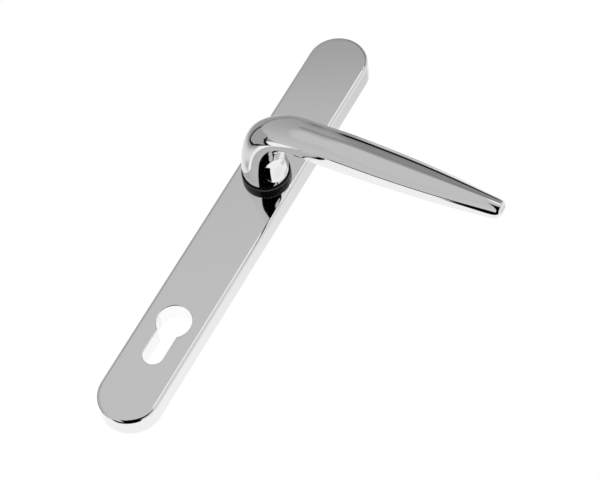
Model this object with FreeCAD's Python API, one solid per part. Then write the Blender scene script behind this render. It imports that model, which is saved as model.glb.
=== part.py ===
# Sprung lever handle on a long narrow backplate, the outside half of a set for a multipoint door.
# Millimetres. +Z runs up the plate, +X along the lever, and the front faces -Y.
# The origin is where the spindle axis meets the plate's flat rear face.
# A "depth" below is the distance of a feature in front of that rear face, so it lies at y = -depth.
import FreeCAD
import Part
import math
import os

V = FreeCAD.Vector
AXIS = V(0, -1, 0)
ORIGIN = V(0, 0, 0)

# Backplate
PLATE_TOP = 90.0
PLATE_BOTTOM = -150.0
PLATE_WIDTH = 30.8
PLATE_DEPTH = 11.2
PLATE_EDGE = 1.7
SIDE_WALL = 2.0
FRONT_WALL = 1.8
RIB_WALL = 1.2
RIB_HEIGHT = 4.0
RIB_PLACES = (36.0, 60.0, -42.0, -66.0, -125.0)
LUG_RIB = 5.0

# Cylinder cut-out, a round and a narrower tail below it
CYLINDER_PITCH = 92.0
CYLINDER_RADIUS = 8.7
TAIL_HALF_WIDTH = 5.25
CUTOUT_HEIGHT = 33.8
CUTOUT_RIM = 1.7
CUTOUT_EDGE = 0.35

# Fixing lugs, tapped from behind
LUG_CENTRES = 215.0
LUG_TOP_Z = 77.5
LUG_RADIUS = 4.6
TAP_RADIUS = 2.1
TAP_DEPTH = 9.6

# Lever shank, its fits and what it carries, from the front to the rear
SHANK_RADIUS = 7.0
SHANK_END = 0.4
SHANK_FLATS = 12.4
SOCKET = 8.1
SOCKET_DEPTH = 13.0
BUSH_WALL = 1.0
RUNNING = 0.06
SEATED = 0.03
COLLAR_RADIUS = 12.2
COLLAR_HEIGHT = 3.9
COLLAR_EDGE = 1.1
END_FLOAT = 0.1
THRUST_WASHER = 0.6
DRIVER_WEB = 2.2
BOW_HEIGHT = 0.8
BOW_SHEET = 0.3
CLIP_SHEET = 1.0
CLIP_GROOVE = 0.55
CLIP_WIDTH = 2.2
CLIP_EAR = 3.4
CLIP_GAP_ANGLE = 17.0
CLIP_EAR_ANGLE = 25.0
CLIP_EAR_HOLE = 0.85
BOW_PLAY = 0.15
SIDE_PLAY = 0.3

# Return spring, wound round the boss and the driver
WIRE = 1.6
SPRING_TURNS = 2.25
SPRING_LEG = 8.0
HOOK_BEND = 1.8
HOOK_PLAY = 0.15
NOTCH_LENGTH = 2.2
COIL_PLAY = 0.6
ANCHOR_WIDTH = 1.6
BOSS_WALL = 3.0

# Driver's stop ear and the stops in the plate
SWING = 45.0
STOP_MARGIN = 1.5
EAR_HALF_WIDTH = 2.2
EAR_RADIUS = 15.8
EAR_SHEET = 1.2
EAR_ROOT_ANGLE = 28.0
STOP_TOP_ANGLE = 80.0

# Cover plate behind the spring
COVER_SHEET = 0.8
COVER_RECESS = 0.1
COVER_STEP = 1.7
COVER_HALF_HEIGHT = 18.0
COVER_SCREW_Z = 24.0
COVER_EAR = 4.6
COVER_CLEAR = 0.5
SCREW_RADIUS = 1.4
SCREW_HEAD_RADIUS = 2.7
SCREW_HEAD = 1.3
SCREW_LENGTH = 6.0
SCREW_EDGE = 0.5
SCREW_PLAY = 0.2
RECESS_HALF_WIDTH = 0.35
RECESS_HALF_LENGTH = 1.5
RECESS_DEPTH = 0.7
POST_RADIUS = 3.2

# Lever: the neck rises from the plate, bends over to +X and runs out as the grip
NECK_TOP = 33.8
BEND_RADIUS = 23.2
LEVER_REACH = 129.6
NOSE_LENGTH = 6.0
NOSE_TURNS = (22.0, 42.0, 58.0, 71.0, 81.0)
NOSE_FULLNESS = 0.7

# How far a feature runs into or past its neighbour before they are joined or cut
LAP = 1.0
# Two depths closer than this are the same plane
FLAT = 1e-6

# Places that follow from the sizes above
HALF_WIDTH = PLATE_WIDTH / 2
INNER_HALF = HALF_WIDTH - SIDE_WALL
POCKET_DEPTH = PLATE_DEPTH - FRONT_WALL
CYLINDER_Z = -CYLINDER_PITCH
TAIL_Z = CYLINDER_Z + CYLINDER_RADIUS - CUTOUT_HEIGHT + TAIL_HALF_WIDTH
BUSH_INNER = SHANK_RADIUS + RUNNING
BUSH_OUTER = BUSH_INNER + BUSH_WALL
BORE_RADIUS = BUSH_OUTER + SEATED
BOSS_RADIUS = BORE_RADIUS + BOSS_WALL
COLLAR_TOP = PLATE_DEPTH + COLLAR_HEIGHT
LEVER_FOOT = COLLAR_TOP + END_FLOAT
CLIP_REAR = COVER_RECESS + COVER_SHEET + SIDE_PLAY
CLIP_FRONT = CLIP_REAR + CLIP_SHEET
BOW_FRONT = CLIP_FRONT + BOW_HEIGHT
DRIVER_FRONT = BOW_FRONT + DRIVER_WEB
BOSS_REAR = DRIVER_FRONT + THRUST_WASHER
CLIP_OUTER = SHANK_RADIUS - CLIP_GROOVE + CLIP_WIDTH
EAR_REAR = CLIP_REAR
EAR_FRONT = EAR_REAR + EAR_SHEET
SPRING_FRONT = POCKET_DEPTH - SIDE_PLAY - WIRE / 2
SPRING_REAR = BOW_FRONT - BOW_SHEET + WIRE / 2 + HOOK_PLAY
SPRING_PITCH = (SPRING_FRONT - SPRING_REAR) / SPRING_TURNS
SPRING_RADIUS = INNER_HALF - SIDE_PLAY - WIRE / 2
DRIVER_RADIUS = SPRING_RADIUS - WIRE / 2 - COIL_PLAY

# Stations of the lever. Neck: depth, half width, half thickness. Bend: turn, half width, half
# thickness, squareness. Grip: x, depth of its centre, tilt, half width, half thickness, squareness.
NECK = (
    (LEVER_FOOT, 11.35, 11.35),
    (LEVER_FOOT + 5.0, 11.5, 11.5),
    (LEVER_FOOT + 12.0, 10.7, 10.8),
    (NECK_TOP, 9.65, 9.65),
)
BEND = (
    (26.0, 9.25, 8.0, 0.0),
    (53.0, 9.3, 7.25, 0.1),
    (79.0, 9.3, 7.2, 0.45),
)
GRIP = (
    (33.0, 57.5, 82.0, 9.0, 7.8, 0.75),
    (45.0, 58.5, 84.5, 8.75, 7.9, 1.0),
    (60.0, 59.3, 86.5, 8.55, 7.4, 1.0),
    (75.0, 60.1, 87.0, 8.15, 6.8, 1.0),
    (90.0, 60.8, 87.0, 7.4, 6.35, 1.0),
    (105.0, 61.4, 87.0, 6.3, 6.0, 1.0),
    (115.0, 61.8, 87.0, 5.4, 5.65, 1.0),
    (LEVER_REACH - NOSE_LENGTH, 62.1, 87.0, 4.6, 5.3, 1.0),
)


def at(x, depth, z):
    """A point given by its depth in front of the rear face."""
    return V(x, -depth, z)


def disc(radius, rear, front, x=0.0, z=0.0):
    """A round bar along the spindle axis, between two depths."""
    return Part.makeCylinder(radius, front - rear, at(x, rear, z), AXIS)


def ring(outer, inner, rear, front):
    return disc(outer, rear, front).cut(disc(inner, rear - LAP, front + LAP))


def prism(points, rear, front):
    """A straight-sided block over an outline of (x, z) points, between two depths."""
    wire = Part.makePolygon([at(x, rear, z) for x, z in points + points[:1]])
    return Part.Face(wire).extrude(AXIS * (front - rear))


def block(x0, x1, z0, z1, rear, front):
    return prism([(x0, z0), (x1, z0), (x1, z1), (x0, z1)], rear, front)


def long_slot(half_width, top, bottom, rear, front):
    """A bar with full round ends at the top and the bottom."""
    upper = top - half_width
    lower = bottom + half_width
    edges = [
        Part.LineSegment(at(half_width, rear, lower), at(half_width, rear, upper)),
        Part.Arc(at(half_width, rear, upper), at(0, rear, top), at(-half_width, rear, upper)),
        Part.LineSegment(at(-half_width, rear, upper), at(-half_width, rear, lower)),
        Part.Arc(at(-half_width, rear, lower), at(0, rear, bottom), at(half_width, rear, lower)),
    ]
    wire = Part.Wire([edge.toShape() for edge in edges])
    return Part.Face(wire).extrude(AXIS * (front - rear))


def polar(radius, degrees):
    """An (x, z) point at an angle from straight down, positive towards +X."""
    return radius * math.sin(math.radians(degrees)), -radius * math.cos(math.radians(degrees))


def wedge(towards, half_angle):
    """A three-cornered block with its point on the spindle axis, through all the inner pieces."""
    reach = 2 * PLATE_WIDTH
    return prism([(0, 0), polar(reach, towards - half_angle), polar(reach, towards + half_angle)],
                 0, DRIVER_FRONT)


def cutout(grow, rear, front):
    """The cylinder's shape, made larger all round by grow."""
    round_part = disc(CYLINDER_RADIUS + grow, rear, front, z=CYLINDER_Z)
    tail_end = disc(TAIL_HALF_WIDTH + grow, rear, front, z=TAIL_Z)
    half = TAIL_HALF_WIDTH + grow
    tail = block(-half, half, TAIL_Z, CYLINDER_Z, rear, front)
    return round_part.fuse([tail, tail_end]).removeSplitter()


def swing_stop(side):
    """A cast stop beside the spring: its face meets the driver's ear at the end of the swing."""
    angle = SWING + STOP_MARGIN
    inner = SPRING_RADIUS + WIRE / 2 + SIDE_PLAY

    def face_point(radius):
        along = math.radians(angle)
        x = radius * math.sin(along) + EAR_HALF_WIDTH * math.cos(along)
        z = -radius * math.cos(along) + EAR_HALF_WIDTH * math.sin(along)
        return side * x, z

    root = side * (INNER_HALF + LAP)
    top = -inner * math.cos(math.radians(STOP_TOP_ANGLE))
    points = [face_point(inner - LAP), face_point(EAR_RADIUS + INNER_HALF - inner),
              (root, -EAR_RADIUS), (root, top), (side * (inner - LAP), top)]
    stop = prism(points, EAR_REAR, POCKET_DEPTH + LAP)
    channel = disc(inner, EAR_REAR - LAP, POCKET_DEPTH)
    outside = long_slot(INNER_HALF + LAP, PLATE_TOP, PLATE_BOTTOM, 0, PLATE_DEPTH)
    return stop.cut(channel).common(outside)


def spring_anchor():
    """A cast rib that holds the spring's front leg against the side wall."""
    inside = SPRING_RADIUS - WIRE / 2 - SEATED
    return block(-inside, -inside + ANCHOR_WIDTH, SPRING_LEG / 2, SPRING_LEG,
                 SPRING_FRONT - WIRE / 2, POCKET_DEPTH + LAP)


def backplate():
    shell = long_slot(HALF_WIDTH, PLATE_TOP, PLATE_BOTTOM, 0, PLATE_DEPTH)
    front_edges = [e for e in shell.Edges if abs(e.BoundBox.YMin + PLATE_DEPTH) < FLAT
                   and abs(e.BoundBox.YMax + PLATE_DEPTH) < FLAT]
    shell = shell.makeFillet(PLATE_EDGE, front_edges)
    shell = shell.cut(long_slot(INNER_HALF, PLATE_TOP - SIDE_WALL, PLATE_BOTTOM + SIDE_WALL,
                                -LAP, POCKET_DEPTH))
    root = POCKET_DEPTH + LAP
    added = [disc(BOSS_RADIUS, BOSS_REAR, root), cutout(CUTOUT_RIM, 0, root), spring_anchor()]
    added += [swing_stop(side) for side in (-1, 1)]
    for z in RIB_PLACES:
        added.append(block(-INNER_HALF - LAP, INNER_HALF + LAP, z - RIB_WALL / 2, z + RIB_WALL / 2,
                           POCKET_DEPTH - RIB_HEIGHT, root))
    for z in (LUG_TOP_Z, LUG_TOP_Z - LUG_CENTRES):
        added.append(disc(LUG_RADIUS, 0, root, z=z))
        added.append(block(-RIB_WALL / 2, RIB_WALL / 2, z - LUG_RADIUS - LUG_RIB,
                           z + LUG_RADIUS + LUG_RIB, POCKET_DEPTH - RIB_HEIGHT, root))
    for z in (COVER_SCREW_Z, -COVER_SCREW_Z):
        added.append(disc(POST_RADIUS, COVER_RECESS + COVER_SHEET + COVER_STEP, root, z=z))
        added.append(block(-INNER_HALF - LAP, INNER_HALF + LAP, z - RIB_WALL / 2, z + RIB_WALL / 2,
                           POCKET_DEPTH - RIB_HEIGHT, root))
    shell = shell.fuse(added)
    holes = [disc(BORE_RADIUS, -LAP, PLATE_DEPTH + LAP), cutout(0, -LAP, PLATE_DEPTH + LAP)]
    for z in (LUG_TOP_Z, LUG_TOP_Z - LUG_CENTRES):
        holes.append(disc(TAP_RADIUS, -LAP, TAP_DEPTH, z=z))
    for z in (COVER_SCREW_Z, -COVER_SCREW_Z):
        holes.append(disc(SCREW_RADIUS, 0, POCKET_DEPTH, z=z))
    shell = shell.cut(holes).removeSplitter()
    mouth = [e for e in shell.Edges if abs(e.BoundBox.YMin + PLATE_DEPTH) < FLAT
             and abs(e.BoundBox.YMax + PLATE_DEPTH) < FLAT
             and e.BoundBox.XMax < TAIL_HALF_WIDTH + CYLINDER_RADIUS and e.BoundBox.ZMax < -COLLAR_RADIUS
             and e.BoundBox.XMin > -TAIL_HALF_WIDTH - CYLINDER_RADIUS]
    return shell.makeFillet(CUTOUT_EDGE, mouth)


def neck_bush():
    """The black nylon bearing: its flange is the collar seen between the lever and the plate."""
    flange = disc(COLLAR_RADIUS, PLATE_DEPTH, COLLAR_TOP)
    top = [e for e in flange.Edges if abs(e.BoundBox.YMin + COLLAR_TOP) < FLAT
           and abs(e.BoundBox.YMax + COLLAR_TOP) < FLAT]
    flange = flange.makeFillet(COLLAR_EDGE, top)
    sleeve = disc(BUSH_OUTER, BOSS_REAR, PLATE_DEPTH + LAP)
    return flange.fuse(sleeve).cut(disc(BUSH_INNER, 0, COLLAR_TOP + LAP)).removeSplitter()


def section_points(squareness):
    """The lever's section as eight arcs, each a start and a middle point in shares of the half
    width and of the half thickness: a crowned front, two corners, two sides, two soft rear
    corners and the rear. Squareness 0 is a plain round and 1 is the full grip shape."""
    grip = [(-0.925, 0.58), (0.0, 1.0), (0.925, 0.58), (0.983, 0.53), (0.998, 0.44),
            (0.988, -0.03), (0.93, -0.50), (0.83, -0.79), (0.62, -0.93), (0.0, -1.0),
            (-0.62, -0.93), (-0.83, -0.79), (-0.93, -0.50), (-0.988, -0.03), (-0.998, 0.44),
            (-0.983, 0.53)]
    turns = [138, 90, 42, 34, 26, 0, -30, -45, -60, -90, -120, -135, -150, -180, -206, -214]
    points = []
    for (z, height), turn in zip(grip, turns):
        round_z = math.cos(math.radians(turn))
        round_height = math.sin(math.radians(turn))
        points.append((round_z + (z - round_z) * squareness,
                       round_height + (height - round_height) * squareness))
    return points


def lever_section(x, depth, tilt, half_width, half_thickness, squareness):
    """One closed section of the lever, centred at x and depth. Its front looks to -X at tilt 0,
    as on the neck, and straight ahead at tilt 90, as on the grip."""
    centre = at(x, depth, 0)
    out = V(-math.cos(math.radians(tilt)), -math.sin(math.radians(tilt)), 0)
    points = [centre + V(0, 0, z * half_width) + out * (height * half_thickness)
              for z, height in section_points(squareness)]
    arcs = []
    for i in range(0, len(points), 2):
        arcs.append(Part.Arc(points[i], points[i + 1], points[(i + 2) % len(points)]).toShape())
    return Part.Wire(arcs)


def lever_body():
    """The cast outside of the lever, lofted from the foot of the neck to the nose."""
    sections = [lever_section(0, depth, 0, half_width, half_thickness, 0)
                for depth, half_width, half_thickness in NECK]
    for tilt, half_width, half_thickness, squareness in BEND:
        x = BEND_RADIUS * (1 - math.cos(math.radians(tilt)))
        depth = NECK_TOP + BEND_RADIUS * math.sin(math.radians(tilt))
        sections.append(lever_section(x, depth, tilt, half_width, half_thickness, squareness))
    for x, depth, tilt, half_width, half_thickness, squareness in GRIP:
        sections.append(lever_section(x, depth, tilt, half_width, half_thickness, squareness))
    x, depth, tilt, half_width, half_thickness, squareness = GRIP[-1]
    for turn in NOSE_TURNS:
        shrink = math.cos(math.radians(turn)) ** NOSE_FULLNESS
        sections.append(lever_section(x + NOSE_LENGTH * math.sin(math.radians(turn)), depth, tilt,
                                      half_width * shrink, half_thickness * shrink, squareness))
    return Part.makeLoft(sections, True, False)


def lever():
    body = lever_body()
    body = body.fuse(disc(SHANK_RADIUS, SHANK_END, LEVER_FOOT + LAP)).removeSplitter()
    half_flats = SHANK_FLATS / 2
    for side in (-1, 1):
        x0, x1 = sorted((side * half_flats, side * (SHANK_RADIUS + LAP)))
        body = body.cut(block(x0, x1, -SHANK_RADIUS, SHANK_RADIUS, SHANK_END - LAP,
                              DRIVER_FRONT))
    body = body.cut(ring(SHANK_RADIUS + LAP, SHANK_RADIUS - CLIP_GROOVE, CLIP_REAR, CLIP_FRONT))
    half = SOCKET / 2
    return body.cut(block(-half, half, -half, half, SHANK_END - LAP, SOCKET_DEPTH))


def thrust_washer():
    return ring(BOSS_RADIUS, BUSH_INNER, DRIVER_FRONT + SEATED, BOSS_REAR)


def flatted_hole(radius, across, rear, front):
    """The hole that keys a piece to the shank's two flats."""
    hole = disc(radius, rear, front)
    return hole.common(block(-across / 2, across / 2, -radius, radius, rear, front))


def spring_driver():
    """The cast driver: a web keyed to the shank, a notch for the spring's hook, and behind the
    spring the ear that swings between the plate's stops."""
    rim_rear = BOW_FRONT - BOW_SHEET
    body = disc(DRIVER_RADIUS, rim_rear, DRIVER_FRONT)
    body = body.cut(disc(CLIP_OUTER + SIDE_PLAY, rim_rear - LAP, BOW_FRONT))
    # The ear's root climbs past the clip on a short arc of rim, then reaches over the spring.
    root = ring(DRIVER_RADIUS, CLIP_OUTER + SIDE_PLAY, EAR_REAR, DRIVER_FRONT)
    fan = wedge(0, EAR_ROOT_ANGLE)
    ear = block(-EAR_HALF_WIDTH, EAR_HALF_WIDTH, -EAR_RADIUS, -DRIVER_RADIUS + LAP,
                EAR_REAR, EAR_FRONT)
    tip = disc(EAR_RADIUS, EAR_REAR, EAR_FRONT)
    body = body.fuse([root.common(fan), ear.common(tip)]).removeSplitter()
    hole = flatted_hole(SHANK_RADIUS + RUNNING, SHANK_FLATS + 2 * RUNNING, 0, DRIVER_FRONT + LAP)
    half = WIRE / 2 + HOOK_PLAY
    floor = DRIVER_RADIUS - NOTCH_LENGTH
    notch = block(-half, half, -DRIVER_RADIUS - LAP, -floor, SPRING_REAR - half, DRIVER_FRONT + LAP)
    return body.cut([hole, notch]).removeSplitter()


def spring_washer():
    """A bowed washer that takes up the lever's end play: a ring cut from a curved sheet."""
    sag = BOW_HEIGHT - BOW_SHEET - 2 * SEATED
    radius = (CLIP_OUTER ** 2 + sag ** 2) / (2 * sag)
    crest = BOW_FRONT - SEATED
    centre = at(0, crest - radius, -CLIP_OUTER - LAP)
    height = 2 * (CLIP_OUTER + LAP)
    sheet = Part.makeCylinder(radius, height, centre, V(0, 0, 1))
    sheet = sheet.cut(Part.makeCylinder(radius - BOW_SHEET, height, centre, V(0, 0, 1)))
    return ring(CLIP_OUTER, SHANK_RADIUS + BOW_PLAY, 0, DRIVER_FRONT).common(sheet)


def biarc(start, start_way, end, end_way):
    """Two arcs that join two points smoothly along the two given directions."""
    across = end - start
    both = start_way + end_way
    a = 2 * (start_way.dot(end_way) - 1)
    b = -2 * across.dot(both)
    c = across.dot(across)
    reach = (-b - math.sqrt(b * b - 4 * a * c)) / (2 * a)
    if reach < 0:
        reach = (-b + math.sqrt(b * b - 4 * a * c)) / (2 * a)
    corners = (start + start_way * reach, end - end_way * reach)
    joint = (corners[0] + corners[1]) * 0.5
    arcs = []
    for p, corner, q in ((start, corners[0], joint), (joint, corners[1], end)):
        middle = (p + q) * 0.5
        half_chord = (q - p).Length / 2
        lean = math.acos(half_chord / reach)
        rise = half_chord * math.tan(lean / 2)
        toward = corner - middle
        arcs.append(Part.Arc(p, middle + toward * (rise / toward.Length), q).toShape())
    return arcs


def coil_point(turns):
    """A point of the spring's coil and the way it runs there, after some turns from its leg."""
    angle = math.pi + 2 * math.pi * turns
    point = at(SPRING_RADIUS * math.cos(angle), SPRING_FRONT - SPRING_PITCH * turns,
               SPRING_RADIUS * math.sin(angle))
    way = at(-SPRING_RADIUS * math.sin(angle), -SPRING_PITCH / (2 * math.pi),
             SPRING_RADIUS * math.cos(angle))
    return point, way.normalize()


def spring_path():
    """The wire's centre line: the straight leg, the coil in quarter turns, and the hook."""
    start, way = coil_point(0)
    path = [Part.LineSegment(start - way * SPRING_LEG, start).toShape()]
    # The hook's bend leaves the coil a little early, so that the hook lies on the centre line.
    inset = SPRING_RADIUS - HOOK_BEND
    early = math.asin(HOOK_BEND / inset) / (2 * math.pi)
    last = SPRING_TURNS - early
    count = math.ceil(4 * last)
    for i in range(count):
        end, end_way = coil_point(last * (i + 1) / count)
        path += biarc(start, way, end, end_way)
        start, way = end, end_way
    bend_end = V(0, start.y, -inset * math.cos(2 * math.pi * early))
    inward = V(0, 0, 1)
    path += biarc(start, way, bend_end, inward)
    hook_end = V(0, start.y, -(DRIVER_RADIUS - NOTCH_LENGTH + HOOK_PLAY))
    path.append(Part.LineSegment(bend_end, hook_end).toShape())
    return Part.Wire(path)


def least_gap(path):
    """The smallest clear distance between neighbouring turns of the wire, from points on it."""
    points = path.discretize(Number=600)
    step = path.Length / (len(points) - 1)
    apart = int(math.pi * SPRING_RADIUS / step)
    nearest = min((points[i] - points[j]).Length
                  for i in range(len(points)) for j in range(i + apart, len(points)))
    return nearest - WIRE


def return_spring():
    path = spring_path()
    start = path.Edges[0].valueAt(path.Edges[0].FirstParameter)
    way = path.Edges[0].tangentAt(path.Edges[0].FirstParameter)
    section = Part.Wire([Part.Circle(start, way, WIRE / 2).toShape()])
    tube = path.makePipeShell([section], True, False)
    print(f"return_spring: wire {path.Length:.1f} long, volume {tube.Volume:.1f} against "
          f"{math.pi * WIRE ** 2 / 4 * path.Length:.1f} mm3, least gap {least_gap(path):.2f}")
    return tube


def circlip():
    """An external retaining ring, open at the top, with its two plier ears."""
    inner = SHANK_RADIUS - CLIP_GROOVE + SEATED
    body = ring(inner + CLIP_WIDTH, inner, CLIP_REAR + SEATED, CLIP_FRONT - SEATED)
    body = body.cut(wedge(180, CLIP_GAP_ANGLE))
    places = [polar(inner + CLIP_EAR / 2, 180 + side * CLIP_EAR_ANGLE) for side in (-1, 1)]
    ears = [disc(CLIP_EAR / 2, CLIP_REAR + SEATED, CLIP_FRONT - SEATED, x, z) for x, z in places]
    holes = [disc(CLIP_EAR_HOLE, 0, BOW_FRONT, x, z) for x, z in places]
    return body.fuse(ears).cut(holes + [disc(inner, 0, BOW_FRONT)]).removeSplitter()


def spring_cover():
    """A pressed sheet over the spring. Its two ends step forward to the screw posts."""
    rear = COVER_RECESS
    step = COVER_STEP
    slope = step
    half = COVER_HALF_HEIGHT
    end = COVER_SCREW_Z + COVER_EAR
    side = [(half, 0), (half + slope, step), (end, step)]
    outline = [V(0, -(rear + depth), z) for z, depth in side]
    outline += [V(0, -(rear + depth + COVER_SHEET), z) for z, depth in reversed(side)]
    outline += [V(0, -(rear + depth + COVER_SHEET), -z) for z, depth in side]
    outline += [V(0, -(rear + depth), -z) for z, depth in reversed(side)]
    wide = INNER_HALF - SIDE_PLAY
    strip = Part.Face(Part.makePolygon(outline + outline[:1])).extrude(V(2 * wide, 0, 0))
    strip.translate(V(-wide, 0, 0))
    outside = disc(wide, 0, PLATE_DEPTH).fuse(long_slot(COVER_EAR, end, -end, 0, PLATE_DEPTH))
    shape = strip.common(outside)
    holes = [disc(SHANK_RADIUS + COVER_CLEAR, 0, PLATE_DEPTH)]
    holes += [disc(SCREW_RADIUS + SCREW_PLAY, 0, PLATE_DEPTH, z=z)
              for z in (COVER_SCREW_Z, -COVER_SCREW_Z)]
    return shape.cut(holes).removeSplitter()


def cover_screw(z):
    """A pan-head self-tapping screw with a cross recess."""
    seat = COVER_RECESS + COVER_STEP
    head = disc(SCREW_HEAD_RADIUS, seat - SCREW_HEAD, seat, z=z)
    rim = [e for e in head.Edges if abs(e.BoundBox.YMax + seat - SCREW_HEAD) < FLAT
           and abs(e.BoundBox.YMin + seat - SCREW_HEAD) < FLAT]
    head = head.makeFillet(SCREW_EDGE, rim)
    for x, dz in ((RECESS_HALF_LENGTH, RECESS_HALF_WIDTH), (RECESS_HALF_WIDTH, RECESS_HALF_LENGTH)):
        head = head.cut(block(-x, x, z - dz, z + dz, 0, seat - SCREW_HEAD + RECESS_DEPTH))
    shank = disc(SCREW_RADIUS - SEATED, seat - SCREW_HEAD + RECESS_DEPTH, seat + SCREW_LENGTH, z=z)
    return head.fuse(shank).removeSplitter()


def cover_screws():
    return Part.makeCompound([cover_screw(z) for z in (COVER_SCREW_Z, -COVER_SCREW_Z)])


def write(node, shape):
    solids = shape.Solids
    for solid in solids:
        assert solid.isValid(), node
    box = shape.BoundBox
    print(f"{node}: {len(solids)} solid, {sum(s.Volume for s in solids):.0f} mm3, "
          f"x {box.XMin:.1f} to {box.XMax:.1f}, y {box.YMin:.1f} to {box.YMax:.1f}, "
          f"z {box.ZMin:.1f} to {box.ZMax:.1f}")
    (solids[0] if len(solids) == 1 else Part.makeCompound(solids)).exportStep(f"parts/{node}.step")


os.makedirs("parts", exist_ok=True)
write("backplate", backplate())
write("neck_bush", neck_bush())
write("lever", lever())
write("thrust_washer", thrust_washer())
write("return_spring", return_spring())
write("spring_driver", spring_driver())
write("spring_washer", spring_washer())
write("circlip", circlip())
write("spring_cover", spring_cover())
write("cover_screws", cover_screws())
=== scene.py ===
# %% [markdown]
# # A sprung lever handle on a long narrow backplate
# The handle is polished chrome over a zinc casting. Chrome has hardly any colour of its own: it shows the room round
# it, so this lesson is about two things, smooth surfaces that bend a reflection well, and a room worth reflecting.
# The packed model is loaded first. It fixes every size, and each piece made here but the spring rides on one of its
# bodies.

import math

import bmesh
import bpy
from mathutils import Matrix, Vector


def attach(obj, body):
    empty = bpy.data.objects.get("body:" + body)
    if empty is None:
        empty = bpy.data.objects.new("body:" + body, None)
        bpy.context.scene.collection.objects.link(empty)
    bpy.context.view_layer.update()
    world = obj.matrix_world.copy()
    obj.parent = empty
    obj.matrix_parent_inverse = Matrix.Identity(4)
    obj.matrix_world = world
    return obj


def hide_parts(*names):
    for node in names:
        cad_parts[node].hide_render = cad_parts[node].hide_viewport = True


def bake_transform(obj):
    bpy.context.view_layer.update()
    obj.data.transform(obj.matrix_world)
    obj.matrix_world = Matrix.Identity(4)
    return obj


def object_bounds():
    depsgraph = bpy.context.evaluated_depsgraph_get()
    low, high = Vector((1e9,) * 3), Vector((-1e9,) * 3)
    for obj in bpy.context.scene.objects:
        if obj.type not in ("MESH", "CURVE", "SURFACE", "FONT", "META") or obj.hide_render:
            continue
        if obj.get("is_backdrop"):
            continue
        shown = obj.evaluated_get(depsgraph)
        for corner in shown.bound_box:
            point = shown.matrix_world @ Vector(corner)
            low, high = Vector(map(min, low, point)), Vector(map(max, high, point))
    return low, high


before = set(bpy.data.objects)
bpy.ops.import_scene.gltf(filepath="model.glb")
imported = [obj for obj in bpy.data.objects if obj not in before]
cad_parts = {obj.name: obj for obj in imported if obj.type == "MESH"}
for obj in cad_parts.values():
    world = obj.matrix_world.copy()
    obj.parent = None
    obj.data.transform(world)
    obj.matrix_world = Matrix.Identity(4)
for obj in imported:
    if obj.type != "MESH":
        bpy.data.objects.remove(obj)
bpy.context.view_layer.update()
MM = 0.001

# %% [markdown]
# ## The camera
# The handle lies before a long lens, and the plate leans across the picture. A camera could be moved by eye until the
# picture looks right. Here its place and its three axes were worked out from the outlines of the plate, the cut-out and
# the lever, so that the drawn object falls on the photographed one to about a pixel.

# %% Camera
PICTURE_WIDTH = 600
FOCAL_PIXELS = 2408.46
SENSOR = 36.0
EYE = Vector((400.760, -988.255, -526.651)) * MM
RIGHT = Vector((0.878058, 0.090103, 0.469995))
DOWN = Vector((0.357811, 0.528560, -0.769803))

camera_data = bpy.data.cameras.new("camera")
camera_data.sensor_width = SENSOR
camera_data.lens = FOCAL_PIXELS * SENSOR / PICTURE_WIDTH
camera_data.clip_start = 0.01
camera = bpy.data.objects.new("camera", camera_data)
bpy.context.scene.collection.objects.link(camera)
axes = Matrix((RIGHT, -DOWN, -RIGHT.cross(DOWN))).transposed()
camera.matrix_world = Matrix.Translation(EYE) @ axes.to_4x4()
bpy.context.scene.camera = camera
bpy.context.scene.view_settings.view_transform = "Standard"
print("Lens", round(camera_data.lens, 1), "mm")

# %% [markdown]
# ## Shader maths as expressions
# A finish is a small sum over the surface: a mask, a mix, a little noise. Nodes placed one by one make such a sum hard
# to read, so one small class wraps a socket, and Python's own signs add the Math nodes. Its method `node` adds any
# other node.

# %% The socket class
class Value:
    """A socket in a node tree that can be used in arithmetic."""

    def __init__(self, tree, socket):
        self.tree = tree
        self.socket = socket

    def node(self, kind, settings=None, sockets=None, result=0):
        """Adds a node: its settings first, then numbers or links by socket name or place."""
        return node(self.tree, kind, settings, sockets, result)

    def math(self, operation, *others):
        return self.node("ShaderNodeMath", {"operation": operation}, dict(enumerate((self,) + others)))

    def __add__(self, other):
        return self.math("ADD", other)

    def __sub__(self, other):
        return self.math("SUBTRACT", other)

    def __rsub__(self, other):
        return self * -1.0 + other

    def __mul__(self, other):
        return self.math("MULTIPLY", other)

    def __truediv__(self, other):
        return self.math("DIVIDE", other)

    def __pow__(self, other):
        return self.math("POWER", other)

    __radd__ = __add__
    __rmul__ = __mul__

    def step(self, low, high):
        """Rises smoothly from 0 at low to 1 at high, or falls where low is the larger."""
        return self.node("ShaderNodeMapRange", {"interpolation_type": "SMOOTHSTEP"},
                         {"Value": self, "From Min": low, "From Max": high})


def node(tree, kind, settings=None, sockets=None, result=0):
    made = tree.nodes.new(kind)
    for name, setting in (settings or {}).items():
        setattr(made, name, setting)
    for name, item in (sockets or {}).items():
        if isinstance(item, Value):
            tree.links.new(item.socket, made.inputs[name])
        else:
            made.inputs[name].default_value = item
    return Value(tree, made.outputs[result]) if len(made.outputs) else made


print("Beside arithmetic a Value has", [name for name in vars(Value) if not name.startswith("__")])

# %% [markdown]
# ## The room
# The handle was photographed on a white table, under a grey ceiling, with a dark room behind the camera, and chrome
# shows all of it. Cards and lamps stood round the handle could give such reflections, but each would also light it and
# get into the other views. Here the room is a pattern of directions in the world, and only glossy rays see it.
# For that table, out of the door is up. A direction is an azimuth, from +X towards +Z, and a height out of the door,
# both in degrees.

# %% Directions
world = bpy.data.worlds.new("room")
bpy.context.scene.world = world
world.use_nodes = True
world.node_tree.nodes.clear()
towards = node(world.node_tree, "ShaderNodeTexCoord", result="Generated")


def along(direction):
    """How far the looked-at direction points along another one."""
    return towards.node("ShaderNodeVectorMath", {"operation": "DOT_PRODUCT"}, {0: towards, 1: direction}, "Value")


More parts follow.
